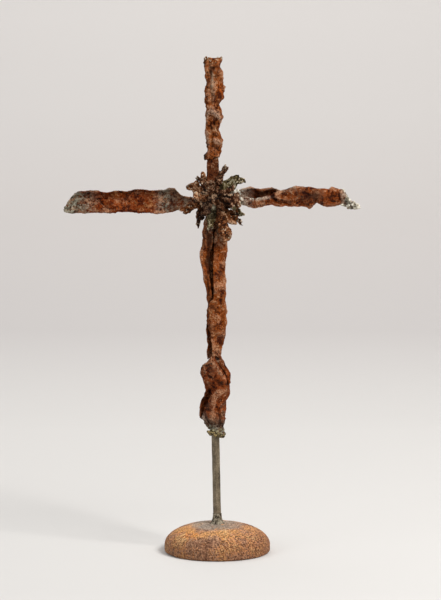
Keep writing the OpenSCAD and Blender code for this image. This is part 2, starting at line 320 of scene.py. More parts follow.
# ---------------------------------------------------------------------------------------------
# Rod: a 6.35 mm square steel bar, turned so that a corner faces front, leaning a little left.
# It keeps its mill scale, olive brown and speckled, and its foot sits in a flared, streaky weld.
# ---------------------------------------------------------------------------------------------
rod_width = 6.35
rod_turn = math.radians(42)


def rod_steel():
    """Olive-brown mill scale, blotched and finely speckled."""
    f = Finish("rod_steel")
    blot = f.noise(90, 4, 0.6, 0.3)
    fine = f.noise(700, 3, 0.6, 0.0, 2.0)
    colour = f.ramp(f.weighed((blot, 0.6), (fine, 0.4)), [
        (0.38, tone(66, 56, 44)), (0.48, tone(104, 92, 72)), (0.56, tone(128, 114, 92)),
        (0.66, tone(158, 146, 126))])
    return f.finish(colour, f.span(fine, 0.3, 0.7, 0.38, 0.6), fine, 0.0003, metal=0.35)


def end_faces(rows, columns):
    """The two end faces that close a grid wrapped into a tube."""
    last = (rows - 1) * columns
    return [tuple(reversed(range(columns))), tuple(range(last, last + columns))]


def smooth_sides(obj):
    """Smooth shading for a closed tube, all but its two end faces, which come last."""
    sides = len(obj.data.polygons) - 2
    obj.data.polygons.foreach_set("use_smooth", [True] * sides + [False] * 2)


def square_bar():
    """The bar between the crown of the cap and its head inside the lowest scrap."""
    low, high = (np.array(v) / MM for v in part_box("rod"))
    corner, lean = 0.55, math.radians(1.15)
    to_corner = (rod_width / 2 - corner) * math.sqrt(2)
    ring = []
    for quarter in range(4):
        middle = math.radians(90 * quarter + 45)
        for k in range(5):
            a = math.radians(90 * quarter + 22.5 * k)
            ring.append((to_corner * math.cos(middle) + corner * math.cos(a),
                         to_corner * math.sin(middle) + corner * math.sin(a)))
    sin, cos = math.sin(rod_turn), math.cos(rod_turn)
    ring = np.array(ring) @ np.array([[cos, sin], [-sin, cos]])
    heights = np.linspace(low[2], high[2], 150)[:, None]
    drift = -(heights - low[2]) * math.tan(lean)
    points = np.stack([ring[None, :, 0] + drift, ring[None, :, 1] + 0 * heights,
                       heights + 0 * ring[None, :, 0]], axis=-1)
    for axis, seed in ((0, 3), (1, 4)):
        points[..., axis] += 0.12 * grain(points, 9.0, seed)
    rows, columns = points.shape[:2]
    faces = grid_faces(rows, columns, True) + end_faces(rows, columns)
    obj = make_mesh("square_bar", points.reshape(-1, 3), faces)
    smooth_sides(obj)
    return obj


bar = square_bar()
bar.data.materials.append(rod_steel())
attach(bar, "root")
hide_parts("rod")


def weld_skin(name, deep, mid, pale):
    """Fused weld metal: dark and glassy, with paler spatter, painted a little paler where it stands out as
    a highlight and darkened in its hollows as painted shade.
    """
    f = Finish(name)
    blot = f.noise(160, 5, 0.65, 0.6)
    fine = f.noise(900, 3, 0.7, 0.2, 4.0)
    relief = f.mark("relief")
    # painted highlight: the relief makes what stands out a little paler
    both = f.weighed((blot, 0.6), (fine, 0.4), (relief, 0.1))
    colour = f.ramp(both, [(0.43, deep), (0.50, mid), (0.58, pale)])
    # painted shade: the hollows of the relief are darkened nearly black
    sunk = f.span(relief, 0.0, -0.5)
    colour = f.mix(f.times(sunk, 0.7), colour, tone(16, 9, 5))
    return f.finish(colour, f.span(fine, 0.35, 0.65, 0.3, 0.6), both, 0.002, specular=0.14)


def foot_flare():
    """The weld flare, wide at the cap and drawn up the bar in streaks, four-sided at its top."""
    low, high = (np.array(v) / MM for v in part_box("rod_foot_weld"))
    reach, height, neck, sunk = high[0], high[2] - low[2], 4.3, 0.2
    turns, rows = 96, 40
    a = np.linspace(0, 2 * math.pi, turns, endpoint=False)[None, :]
    t = np.linspace(0, 1, rows)[:, None]
    radius = neck + (reach - neck) * (1 - np.sin(t * math.pi / 2))
    radius = radius * (1 + 0.1 * np.cos(4 * (a - rod_turn - math.radians(45))) * t)
    z = low[2] - sunk + (height + sunk) * (1 - np.cos(t * math.pi / 2)) + 0 * a
    points = np.stack([radius * np.cos(a), radius * np.sin(a), z], axis=-1)
    streak = grain(np.stack([3 * np.cos(a) + 0 * t, 3 * np.sin(a) + 0 * t, t + 0 * a], axis=-1), 0.5, 5)
    points[..., :2] *= (1 + 0.07 * streak * (1 - 0.5 * t))[..., None]
    top = points[-1].copy()
    top[:, :2] *= 0.3
    points = np.concatenate([points, top[None]])
    faces = grid_faces(rows + 1, turns, True) + end_faces(rows + 1, turns)
    obj = make_mesh("foot_flare", points.reshape(-1, 3), faces)
    smooth_sides(obj)
    roughen(obj, height=0.22, seed=21, coarse=1.8)
    return obj


flare = foot_flare()
foot_weld = weld_skin("foot_weld", tone(40, 34, 28), tone(92, 82, 68), tone(158, 148, 128))
flare.data.materials.append(foot_weld)
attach(flare, "root")
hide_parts("rod_foot_weld")

# ---------------------------------------------------------------------------------------------
# Lowest scrap: torn sheet iron about 1.7 mm thick, crumpled round the head of the rod and
# welded to it. Its left side gapes; a narrow tongue at the top laps the long scrap's tail.
# ---------------------------------------------------------------------------------------------


def jag(t, size, seed):
    """A torn outline: noise along t in millimetres with a few sharp teeth."""
    line = np.stack([t, 0 * t, 0 * t], axis=-1)
    teeth = np.maximum(0, grain(line, size * 0.6, seed + 2)) ** 3
    return 0.5 * grain(line, size, seed) + 0.3 * grain(line, size * 0.3, seed + 1) + 1.1 * teeth


def turned(angle):
    """An angle brought between -180 and 180 degrees."""
    return (angle + 180) % 360 - 180


def torn_sheet(stations, length, steps, span, seed, tear, edge_tear, slants, creases, bumps, crumple=1.0):
    """Points of a rolled scrap that runs up Z, in millimetres, with its share, angle and fold at each.

    A station is: share of the length, low edge, high edge, middle depth, half depth, and the middle
    and half width of the open gap in degrees. Angle 0 faces the front. A crease runs from one share
    and angle to another, with a width and a depth, where a depth below 0 makes a ridge. A bump has a
    share, an angle, a radius and a height.
    """
    table = np.array(stations)
    share = np.linspace(0, 1, steps)[:, None]
    across = np.linspace(0, 1, span)[None, :]
    low, high, middle, depth, gap, half = (np.interp(share, table[:, 0], table[:, k]) for k in range(1, 7))
    half_size = (high - low) / 2
    along = share[:, 0] * length
    to_degrees = np.degrees(1 / np.maximum(4, (half_size[:, 0] + depth[:, 0]) / 2))
    start = (gap + half)[:, 0] - edge_tear * jag(along, 7, seed + 30) * to_degrees
    stop = (gap + 360 - half)[:, 0] + edge_tear * jag(along, 7, seed + 40) * to_degrees
    angle = start[:, None] + (stop - start)[:, None] * across
    sin, cos = np.sin(np.radians(angle)), np.cos(np.radians(angle))
    x = (low + high) / 2 + half_size * sin
    y = middle - depth * cos
    round_sheet = np.radians(angle[0]) * 10
    z = length * share + 0 * angle
    z = z - tear * jag(round_sheet, 8, seed + 50)[None, :] * (1 - share) ** 4
    z = z + tear * jag(round_sheet, 8, seed + 60)[None, :] * share ** 4
    z = z + sin * (slants[0] * (1 - share) ** 5 + slants[1] * share ** 5)
    points = np.stack([x, y, z], axis=-1)
    out = np.stack([sin / half_size, -cos / depth, 0 * angle], axis=-1)
    out /= np.linalg.norm(out, axis=-1, keepdims=True)
    dents = 0.9 * grain(points, 14, seed + 1) + 0.8 * grain(points, 6.5, seed + 2)
    folds = 1 - 2.4 * np.abs(grain(points * np.array([1, 1, 0.6]), 10, seed + 3))
    wrinkles = 1 - 2.4 * np.abs(grain(points, 4.2, seed + 4))
    lift = crumple * (1.1 * dents + 0.8 * folds + 0.35 * wrinkles - 1.4)
    mm_round = np.radians(1) * (half_size + depth) / 2
    for share_0, angle_0, share_1, angle_1, width, deep in creases:
        place = np.stack([(share - share_0) * length + 0 * angle,
                          turned(angle - angle_0) * mm_round], axis=-1)
        run = np.stack([(share_1 - share_0) * length + 0 * angle,
                        (angle_1 - angle_0) * mm_round + 0 * angle], axis=-1)
        part = np.clip((place * run).sum(-1) / (run * run).sum(-1), 0, 1)
        away = np.linalg.norm(place - run * part[..., None], axis=-1)
        lift = lift - deep * np.exp(-((away / width) ** 2))
    for share_0, angle_0, radius, tall in bumps:
        away = np.hypot((share - share_0) * length, turned(angle - angle_0) * mm_round)
        lift = lift + tall * np.exp(-((away / radius) ** 2))
    fold = (lift - lift.mean()) / lift.std()
    return points + out * lift[..., None], share + 0 * angle, angle, fold


def fit_to(points, node):
    """Points scaled a little so that they fill a CAD node's own box, in millimetres."""
    low, high = (np.array(v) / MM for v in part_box(node))
    flat = points.reshape(-1, 3)
    mine_low, mine_high = flat.min(0), flat.max(0)
    return low + (points - mine_low) / (mine_high - mine_low) * (high - low)


def walled(name, sheet, marks, relief, seed, inside_out=False):
    """A closed sheet of iron with its wall behind the given points, and a rusty crust on it."""
    sheet_wall, crust_size = 1.7, 3.0
    faces = grid_faces(*sheet.shape[:2], False)
    if inside_out:
        faces = [face[::-1] for face in faces]
    obj = make_mesh(name, sheet.reshape(-1, 3), faces, marks)
    solid = obj.modifiers.new("wall", "SOLIDIFY")
    solid.thickness = sheet_wall * MM
    solid.offset = -1.0
    solid.use_rim = True
    solid.use_quality_normals = True
    settle(obj)
    roughen(obj, relief, seed, crust_size)
    return obj


def scrap_rust(name, deep, brown, orange, pale, lilac=0.35):
    """Crumpled rusty sheet. Marks paint it: burnt for grey-green ends, a melt mark for pale melted
    edges and painted highlights on ridges, fresh for bright orange rust, a soot mark for soot and
    painted shade in slits, gaps and under lips. The fold and relief marks paint shade into the hollows and
    paint the high spots paler as a highlight."""
    f = Finish(name)
    fold, relief = f.mark("fold"), f.mark("relief")
    broad = f.noise(70, 5, 0.65, 0.8)
    spots = f.noise(280, 5, 0.72, 0.5, 5.3)
    fine = f.noise(1100, 3, 0.7, 0.2, 2.2)
    grit = f.noise(620, 4, 0.75, 0.4, 3.7)
    both = f.weighed((broad, 0.35), (spots, 0.35), (grit, 0.3), (relief, 0.05))
    colour = f.ramp(both, [(0.45, deep), (0.485, brown), (0.515, orange), (0.54, brown), (0.59, pale)])
    scale = f.span(f.noise(85, 4, 0.6, 0.6, 9.1), 0.50, 0.60)
    colour = f.mix(f.times(scale, lilac), colour, tone(112, 80, 60))
    bloom = f.times(f.mark("fresh"), f.span(spots, 0.42, 0.56), True)
    colour = f.mix(bloom, colour, f.ramp(fine, [
        (0.40, tone(116, 46, 14)), (0.52, tone(176, 80, 30)), (0.62, tone(216, 126, 62))]))
    burnt = f.times(f.mark("burnt"), f.span(spots, 0.36, 0.52), True)
    colour = f.mix(burnt, colour, f.ramp(spots, [
        (0.40, tone(44, 36, 26)), (0.50, tone(104, 100, 84)), (0.60, tone(168, 162, 144))]))
    # painted highlight: high folds and high places of the crust are painted paler
    raised = f.sums("MAXIMUM", f.span(fold, 0.4, 1.3), f.span(relief, 0.35, 0.75))
    painted_highlight = f.times(raised, f.span(grit, 0.42, 0.56))
    colour = f.mix(f.times(painted_highlight, 0.65), colour, tone(206, 154, 118))
    # the melt mark paints pale melted edges, and on the upper scrap painted highlights on ridges
    melt_and_highlight = f.times(f.mark("melt_and_highlight"), f.span(spots, 0.40, 0.50), True)
    colour = f.mix(melt_and_highlight, colour, f.ramp(fine, [
        (0.40, tone(120, 92, 74)), (0.50, tone(186, 162, 142)), (0.60, tone(226, 216, 198))]))
    # painted shade: deep folds and low places of the crust are darkened
    sunk = f.sums("MAXIMUM", f.span(fold, -0.9, -2.3), f.span(relief, 0.0, -0.55))
    colour = f.mix(f.times(sunk, 0.75), colour, tone(38, 14, 4))
    # the soot mark paints soot, and painted shade in slits, gaps and under lips
    colour = f.mix(f.mark("soot_and_painted_shade"), colour, f.mix(fine, tone(20, 10, 6), tone(52, 30, 18)))
    height = f.weighed((spots, 0.6), (grit, 0.5))
    return f.finish(colour, f.span(fine, 0.35, 0.65, 0.36, 0.7), height, 0.0034, specular=0.08)


def near(value, middle, reach):
    """A soft patch: 1 at the middle, falling to 0 at the reach."""
    return np.clip(1 - np.abs(value - middle) / reach, 0, 1)


def facing(angle, middle, reach):
    """The same for a direction round the scrap, where 0 faces the front and 90 the right or up."""
    return near(turned(angle - middle), 0, reach)


def slag_beads():
    """A node tree that sets small round beads of spatter on a piece where its mark `edge` allows."""
    tree = bpy.data.node_groups.new("slag_beads", "GeometryNodeTree")
    for title, kind in (("Geometry", "Geometry"), ("Density", "Float"), ("Smallest", "Float"),
                        ("Largest", "Float"), ("Seed", "Int"), ("Material", "Material")):
        tree.interface.new_socket(title, in_out="INPUT", socket_type="NodeSocket" + kind)
    tree.interface.new_socket("Geometry", in_out="OUTPUT", socket_type="NodeSocketGeometry")

    def node(kind, **settings):
        made = tree.nodes.new(kind)
        for key, value in settings.items():
            setattr(made, key, value)
        return made

    given, result = node("NodeGroupInput"), node("NodeGroupOutput")
    edge = node("GeometryNodeInputNamedAttribute", data_type="FLOAT")
    edge.inputs["Name"].default_value = "edge"
    share = node("ShaderNodeMath", operation="MULTIPLY")
    spread = node("GeometryNodeDistributePointsOnFaces", distribute_method="RANDOM")
    ball = node("GeometryNodeMeshIcoSphere")
    ball.inputs["Radius"].default_value = 1.0
    ball.inputs["Subdivisions"].default_value = 2
    size = node("FunctionNodeRandomValue", data_type="FLOAT")
    squash = node("ShaderNodeCombineXYZ")
    flat = node("ShaderNodeMath", operation="MULTIPLY")
    flat.inputs[1].default_value = 0.7
    place = node("GeometryNodeInstanceOnPoints")
    real = node("GeometryNodeRealizeInstances")
    paint = node("GeometryNodeSetMaterial")
    smooth = node("GeometryNodeSetShadeSmooth")
    join = node("GeometryNodeJoinGeometry")
    link = tree.links.new
    link(given.outputs["Geometry"], spread.inputs["Mesh"])
    link(edge.outputs["Attribute"], share.inputs[0])
    link(given.outputs["Density"], share.inputs[1])
    link(share.outputs[0], spread.inputs["Density"])
    link(given.outputs["Seed"], spread.inputs["Seed"])
    link(given.outputs["Smallest"], size.inputs["Min"])
    link(given.outputs["Largest"], size.inputs["Max"])
    link(given.outputs["Seed"], size.inputs["Seed"])
    number = next(s for s in size.outputs if s.enabled)
    link(number, squash.inputs["X"])
    link(number, squash.inputs["Y"])
    link(number, flat.inputs[0])
    link(flat.outputs[0], squash.inputs["Z"])
    link(spread.outputs["Points"], place.inputs["Points"])
    link(spread.outputs["Rotation"], place.inputs["Rotation"])
    link(ball.outputs["Mesh"], place.inputs["Instance"])
    link(squash.outputs[0], place.inputs["Scale"])
    link(place.outputs["Instances"], real.inputs["Geometry"])
    link(real.outputs["Geometry"], smooth.inputs["Geometry"])
    link(smooth.outputs["Geometry"], paint.inputs["Geometry"])
    link(given.outputs["Material"], paint.inputs["Material"])
    link(given.outputs["Geometry"], join.inputs["Geometry"])
    link(paint.outputs["Geometry"], join.inputs["Geometry"])
    link(join.outputs["Geometry"], result.inputs["Geometry"])
    return tree


beads = slag_beads()


def set_beads(obj, material, density, smallest, largest, seed):
    """Adds beads to a piece, so many to a square millimetre, and makes them part of its mesh."""
    step = obj.modifiers.new("beads", "NODES")
    step.node_group = beads
    values = {"Density": density / MM ** 2, "Smallest": smallest * MM, "Largest": largest * MM,
              "Seed": seed, "Material": material}
    for item in beads.interface.items_tree:
        if item.item_type == "SOCKET" and item.in_out == "INPUT" and item.name in values:
            step[item.identifier] = values[item.name]
    return settle(obj)


head_slag = weld_skin("head_slag", tone(44, 42, 34), tone(104, 100, 82), tone(178, 168, 128))
lower_rows = [
    [0.00, -10, 10.5, 0, 8.2, -95, 26], [0.10, -14.5, 9.5, 0, 8.8, -100, 12],
    [0.16, -19, 10.5, 0, 8.8, -74, 14], [0.25, -19.8, 10.6, 0, 8.8, -62, 16],
    [0.35, -19.8, 12.4, 0, 8.8, -56, 22], [0.41, -18.8, 11.8, 0, 8.8, -52, 26],
    [0.47, -15.2, 14.8, -0.4, 8.8, -50, 22], [0.55, -12.4, 15, -0.8, 8.6, -54, 8],
    [0.65, -15.4, 15.8, -1.2, 8.4, -182, 6], [0.75, -17.6, 14.8, -1.6, 7.8, -182, 24],
    [0.85, -17.6, 10, -2.4, 6.4, -182, 64], [0.92, -12.4, 7.4, -3.2, 5.2, -180, 104],
    [1.00, -7.5, 1.5, -3.8, 4.6, -180, 112]]
sheet, share, angle, fold = torn_sheet(
    lower_rows, length=87, steps=170, span=124, seed=3, tear=3.0, edge_tear=1.4, slants=(-3, 3),
    creases=[(0.95, 20, 0.62, 58, 1.6, 2.6), (0.55, -40, 0.10, -30, 2.2, 1.6), (0.5, 5, 0.2, 0, 3.0, -1.6),
             (0.72, -30, 0.58, 30, 2.0, 1.4), (0.3, 20, 0.12, 40, 1.8, 1.4)],
    bumps=[(0.88, -62, 2.6, 2.2), (0.63, 78, 1.8, 2.4), (0.72, 20, 4.0, 1.2), (0.24, 52, 4.0, 1.0)])
sheet = fit_to(sheet, "lower_roll")
lower_marks = {
    "burnt": np.clip(near(share, 0, 0.2) * 1.3, 0, 1),
    "edge": near(share, 0, 0.07),
    "melt_and_highlight": 0.8 * near(share, 0.16, 0.12) * facing(angle, -52, 34),
    "fresh": 0.9 * near(share, 0.68, 0.16) * facing(angle, 40, 60)
    + 0.7 * near(share, 0.3, 0.2) * facing(angle, 50, 50),
    # soot and painted shade: painted shade inside the gaping left side, and a dark band near the foot
    "soot_and_painted_shade": 0.75 * facing(angle, -62, 26) * near(share, 0.42, 0.16) + 0.5 * near(share, 0.1, 0.08),
    "fold": fold}
lower = walled("lowest_scrap", sheet, lower_marks, relief=0.65, seed=31)
lower.data.materials.append(scrap_rust(
    "lowest_rust", tone(48, 16, 4), tone(94, 44, 20), tone(138, 68, 28), tone(162, 112, 80)))
set_beads(lower, head_slag, density=0.18, smallest=0.4, largest=1.2, seed=6)
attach(lower, "root")
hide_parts("lower_roll")

# ---------------------------------------------------------------------------------------------
# Weld round the head of the rod: lumps of dark and gold slag that hold the lowest scrap's foot,
# with one lump run out to each side of the rod.
# ---------------------------------------------------------------------------------------------


def from_node(name, node, cell, relief, seed, coarse=3.0, soften=6, warp=0.0):
    """A copy of a CAD node, meshed anew in cells, its sharp facets melted and its skin roughened.
    The warp shifts points by about that many millimetres, which makes the outline ragged."""
    source = next(o for o in bpy.data.objects if o.type == "MESH" and o.name.split(".")[0] == node)
    obj = bpy.data.objects.new(name, source.data.copy())
    bpy.context.collection.objects.link(obj)
    obj.data.transform(source.matrix_world)
    obj.data.materials.clear()
    shape = bmesh.new()
    shape.from_mesh(obj.data)
    bmesh.ops.remove_doubles(shape, verts=shape.verts, dist=0.002 * MM)
    shape.to_mesh(obj.data)
    shape.free()
    fine = obj.modifiers.new("fine", "REMESH")
    fine.mode = "VOXEL"
    fine.voxel_size = cell * MM
    soft = obj.modifiers.new("soft", "SMOOTH")
    soft.factor = 0.5
    soft.iterations = soften
    settle(obj)
    points, _ = read_points(obj.data)
    for size, share in ((6.0, 1.0), (2.6, 0.5)):
        shift = np.stack([grain(points, size, seed + 50 + k) for k in range(3)], axis=-1)
        points = points + warp * share * shift
    obj.data.vertices.foreach_set("co", (points * MM).ravel())
    obj.data.update()
    roughen(obj, relief, seed, coarse)
    return obj


gold_slag = weld_skin("gold_slag", tone(30, 22, 14), tone(74, 66, 48), tone(150, 130, 88))
head_weld = from_node("head_weld", "rod_head_weld", cell=0.45, relief=0.55, seed=41, coarse=2.4,
                      soften=3, warp=1.1)
head_weld.data.materials.append(gold_slag)
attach(head_weld, "root")
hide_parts("rod_head_weld")

# ---------------------------------------------------------------------------------------------
# Weld between the lowest scrap's tongue and the long scrap's tail: a short row of beads run
# across the lap. It is dark brown, with a painted highlight where it stands out and painted shade in its
# hollows.
# ---------------------------------------------------------------------------------------------
dark_weld = weld_skin("dark_weld", tone(38, 26, 20), tone(92, 62, 44), tone(150, 116, 92))
tail_weld = from_node("tail_weld", "mid_weld", cell=0.45, relief=0.3, seed=43)
tail_weld.data.materials.append(dark_weld)
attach(tail_weld, "root")
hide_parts("mid_weld")

# ---------------------------------------------------------------------------------------------
# Long scrap: the upright between the lowest scrap and the hub, a sheet rolled lengthwise with
# its two edges nearly meeting in a slit left of the front, darkened with painted shade. Its foot gapes to
# the left, with painted shade inside.
# ---------------------------------------------------------------------------------------------
mid_rows = [
    [0.00, -12.7, 5, 4.2, 5, -66, 62], [0.04, -12.7, 6, 4.2, 5.6, -62, 50],
    [0.10, -13, 9.2, 4, 6.6, -58, 38], [0.16, -13.5, 10.4, 4, 7.4, -60, 28],
    [0.24, -14.3, 11.5, 4, 8, -68, 12], [0.39, -11.6, 10.4, 4, 8, -70, 6],
    [0.42, -12.6, 10.4, 4, 8, -24, 8], [0.46, -14.3, 10.4, 4, 8, -18, 10],
    [0.53, -15.8, 9.3, 4, 8, -16, 12], [0.60, -16.8, 8.8, 4, 8, -15, 14],
    [0.67, -19.3, 9.6, 4, 8, -13, 14], [0.74, -19.6, 12.4, 4, 8.2, -8, 9],
    [0.82, -18.8, 11.5, 4, 8.2, -3, 5], [0.88, -17.8, 8.4, 4, 8, 2, 7],
    [0.94, -16.4, 3, 4, 7.4, 40, 44], [1.00, -14.6, -1, 4, 6.4, 62, 74]]
sheet, share, angle, fold = torn_sheet(
    mid_rows, length=156, steps=280, span=124, seed=5, tear=2.5, edge_tear=1.0, slants=(1, -1),
    creases=[(0.86, -20, 0.60, -28, 3.2, 2.6), (0.60, -42, 0.44, -44, 2.0, 1.4),
             (0.40, 30, 0.2, 45, 2.0, 1.0), (0.74, -70, 0.62, -62, 2.0, -1.6),
             (0.36, -30, 0.30, 20, 1.6, 1.2)],
    bumps=[(0.5, 20, 6.0, 1.0), (0.7, 45, 5.0, 0.9), (0.3, 10, 4.0, 0.8), (0.12, -30, 2.4, 1.4)])
sheet = fit_to(sheet, "mid_roll")
long_marks = {
    "burnt": np.clip(near(share, 1, 0.24) * facing(angle, 40, 130) * 1.5, 0, 1),
    "fresh": 0.9 * near(share, 0.62, 0.03) * facing(angle, -48, 26)
    + 0.35 * near(share, 0.66, 0.2) * facing(angle, 20, 40)
    + 0.7 * near(share, 0.09, 0.06) * facing(angle, -20, 40),
    # soot and painted shade: painted shade in the slit and inside the gaping foot
    "soot_and_painted_shade": 0.7 * near(share, 0.68, 0.11) * facing(angle, -18, 16)
    + 0.6 * near(share, 0.12, 0.08) * facing(angle, -62, 26),
    "fold": fold}
upright = walled("long_scrap", sheet, long_marks, relief=0.65, seed=51)
upright.data.materials.append(scrap_rust(
    "long_rust", tone(70, 28, 6), tone(110, 54, 20), tone(154, 78, 28), tone(180, 126, 84), 0.3))
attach(upright, "root")
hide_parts("mid_roll")

# ---------------------------------------------------------------------------------------------
# Hub: lumps of fused, burnt weld metal where the four arms meet. Nearly black in the hollows,
# where shade is painted, brown and grey on the lumps.
# ---------------------------------------------------------------------------------------------
hub = from_node("hub", "rosette_hub", cell=0.5, relief=0.9, seed=61, coarse=4.2, soften=2, warp=1.0)
hub.data.materials.append(weld_skin("hub_weld", tone(8, 4, 1), tone(60, 34, 16), tone(170, 138, 110)))
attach(hub, "root")
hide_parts("rosette_hub")

# ---------------------------------------------------------------------------------------------
# Left arm: a scrap of sheet bent to a trough that opens to the front, with a ridge along its
# inner wall painted pale as a highlight and painted shade under its top lip. The free end is cut aslant,
# burnt grey-green and beaded with slag.
# ---------------------------------------------------------------------------------------------
left_rows = [
    [0.00, -8, 4, 4, 4.4, 0, 62], [0.10, -9.6, 5, 4, 5, 0, 64],
    [0.16, -11, 8, 4, 5.6, 2, 66], [0.20, -12.1, 14.4, 4, 6.4, 0, 68],
    [0.35, -13.2, 12.6, 4, 6.6, -2, 68], [0.49, -14.3, 14.6, 4, 6.8, 0, 70],
    [0.55, -14.3, 12.6, 4, 6.8, 3, 66], [0.70, -13.2, 11.5, 4, 6.6, 4, 60],
    [0.80, -14.3, 12.6, 4, 6.4, 0, 58], [0.90, -13.2, 11.5, 4, 6, -4, 64],
    [0.94, -14.3, 7.4, 4, 5.4, -8, 70], [0.97, -13.6, 0.5, 4, 4.4, -8, 66],
    [1.00, -11.4, -6.4, 4, 2.8, -6, 62]]
sheet, share, angle, fold = torn_sheet(
    left_rows, length=144, steps=260, span=110, seed=12, tear=1.4, edge_tear=1.1, slants=(0, 0),
    creases=[(0.77, 165, 0.63, 250, 1.3, -1.8), (0.84, 120, 0.6, 150, 2.0, 1.2),
             (0.3, 130, 0.36, 220, 2.4, 1.0)],
    bumps=[(0.45, 180, 5.0, -1.6), (0.78, 160, 5.0, -1.2), (0.2, 190, 4.0, -1.2)])
sheet = fit_to(np.stack([-sheet[..., 2], sheet[..., 1], sheet[..., 0]], axis=-1), "arm_left")
left_marks = {
    "burnt": np.clip(near(share, 1, 0.26) * 1.5 + 0.9 * near(share, 0.26, 0.1)
                     + 0.6 * near(share, 0.12, 0.1), 0, 1),
    "fresh": 0.5 * near(share, 0.6, 0.16) * facing(angle, 200, 70),
    "edge": near(share, 1, 0.06),
    # soot and painted shade: painted shade under the top lip, and darkening near the hub
    "soot_and_painted_shade": facing(angle, 84, 26) * near(share, 0.55, 0.5) + 0.45 * near(share, 0.2, 0.12),
    "fold": fold}
left_arm = walled("left_arm", sheet, left_marks, relief=0.6, seed=71)
left_arm.data.materials.append(scrap_rust(
    "left_rust", tone(52, 14, 2), tone(92, 38, 10), tone(146, 66, 20), tone(160, 104, 62), 0.12))
grey_slag = weld_skin("grey_slag", tone(48, 40, 30), tone(112, 104, 86), tone(176, 168, 148))
set_beads(left_arm, grey_slag, density=0.12, smallest=0.5, largest=1.3, seed=7)
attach(left_arm, "root")
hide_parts("arm_left")

# ---------------------------------------------------------------------------------------------
# Right arm: a second scrap, open to the front next to the hub and folded over further out.
# It carries pale melted edges by the hub, a tooth below, and a notched, slag-crusted free end.
# ---------------------------------------------------------------------------------------------
right_rows = [
    [0.00, -8, 9, 3, 4.4, 30, 30], [0.10, -5.8, 14.4, 3, 5.4, 28, 34],
    [0.16, -9, 16.8, 3.4, 6.6, 28, 36], [0.20, -10, 15.6, 4, 7, 30, 34],
    [0.27, -7, 14.6, 4, 7.2, 34, 32], [0.33, -5.8, 15.6, 4, 7.2, 46, 28],
    [0.40, -6.8, 13.8, 4, 7.4, 80, 20], [0.46, -6.8, 16.8, 4, 7.6, 120, 14],
    [0.58, -7.6, 16.8, 4, 7.6, 150, 12], [0.64, -8.8, 16.8, 4, 7.6, 152, 14],
    [0.68, -4, 15.8, 4, 7.2, 152, 16], [0.71, -6.8, 15.8, 4, 7.4, 150, 14],
    [0.76, -8.4, 14.8, 4, 7.4, 148, 12], [0.82, -6.8, 15.8, 4, 7, 148, 14],
    [0.88, -6, 14, 4, 6.2, 140, 22], [0.915, -9.5, 9, 4, 5, 124, 30],
    [0.93, -10.4, 2.5, 4, 4.4, 116, 34], [1.00, -8.8, -1.6, 4, 3, 90, 40]]
sheet, share, angle, fold = torn_sheet(
    right_rows, length=137, steps=250, span=120, seed=15, tear=2.4, edge_tear=1.3, slants=(0, -2),
    crumple=1.05, creases=[(0.33, -10, 0.48, -70, 1.8, 2.0), (0.66, -80, 0.67, -30, 1.4, 1.4),
                           (0.84, 60, 0.86, -10, 1.4, 1.0)],
    bumps=[(0.22, -40, 6.0, 1.6), (0.62, -85, 2.0, 1.8), (0.8, 80, 2.4, 1.8), (0.55, -40, 4.0, 1.0)])
sheet = fit_to(np.stack([sheet[..., 2], sheet[..., 1], sheet[..., 0]], axis=-1), "arm_right")
right_marks = {
    "burnt": np.clip(near(share, 1, 0.14) * 1.6
                     + 0.6 * near(share, 0.42, 0.2) * facing(angle, 70, 60), 0, 1),
    "edge": near(share, 0.98, 0.12) + 0.3 * near(share, 0.02, 0.1),
    "melt_and_highlight": np.clip(1.5 * near(share, 0.04, 0.16) + 2.4 * near(share, 1, 0.14)
                      + 1.4 * near(share, 0.22, 0.16) * facing(angle, -4, 16), 0, 1),
    "fresh": 1.1 * near(share, 0.44, 0.24) * facing(angle, -70, 34) + 0.3 * near(share, 0.76, 0.08),
    # soot and painted shade: painted shade on the inside of the back wall, and darkening by the hub
    "soot_and_painted_shade": 0.5 * near(share, 0.3, 0.12) * facing(angle, 180, 80) + 0.4 * near(share, 0.04, 0.05),
    "fold": fold}
right_arm = walled("right_arm", sheet, right_marks, relief=0.6, seed=81, inside_out=True)
right_arm.data.materials.append(scrap_rust(
    "right_rust", tone(52, 18, 4), tone(96, 46, 16), tone(144, 68, 20), tone(172, 124, 90), 0.5))
pale_slag = weld_skin("pale_slag", tone(74, 66, 54), tone(160, 152, 134), tone(232, 226, 210))
set_beads(right_arm, pale_slag, density=0.22, smallest=0.7, largest=2.1, seed=8)
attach(right_arm, "root")
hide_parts("arm_right")

# ---------------------------------------------------------------------------------------------
# Petals: nineteen torch-cut flakes of plate welded into the hub and splayed round it like a
# ragged rosette. Their tips hold beads of slag, and their roots are darkened nearly black with painted
# shade.
# ---------------------------------------------------------------------------------------------


def burnt_plate(name, deep, mid, scale, pale):
    """Flame-cut plate, with painted shade in its hollows and at its root by the hub, with scale and pale
    melted spots.
    """
    f = Finish(name)
    relief = f.mark("relief")
    blot = f.noise(130, 5, 0.68, 0.7)
    fine = f.noise(800, 3, 0.7, 0.3, 6.0)
    both = f.weighed((blot, 0.6), (fine, 0.4), (relief, 0.08))
    colour = f.ramp(both, [(0.43, deep), (0.49, mid), (0.54, scale), (0.61, pale)])
    # painted shade: the hollows and the root by the hub are darkened nearly black
    sunk = f.sums("MAXIMUM", f.span(relief, 0.0, -0.45), f.mark("root"))
    colour = f.mix(f.times(sunk, 0.85), colour, tone(14, 8, 4))
    return f.finish(colour, f.span(fine, 0.35, 0.65, 0.3, 0.6), both, 0.0026, specular=0.08)


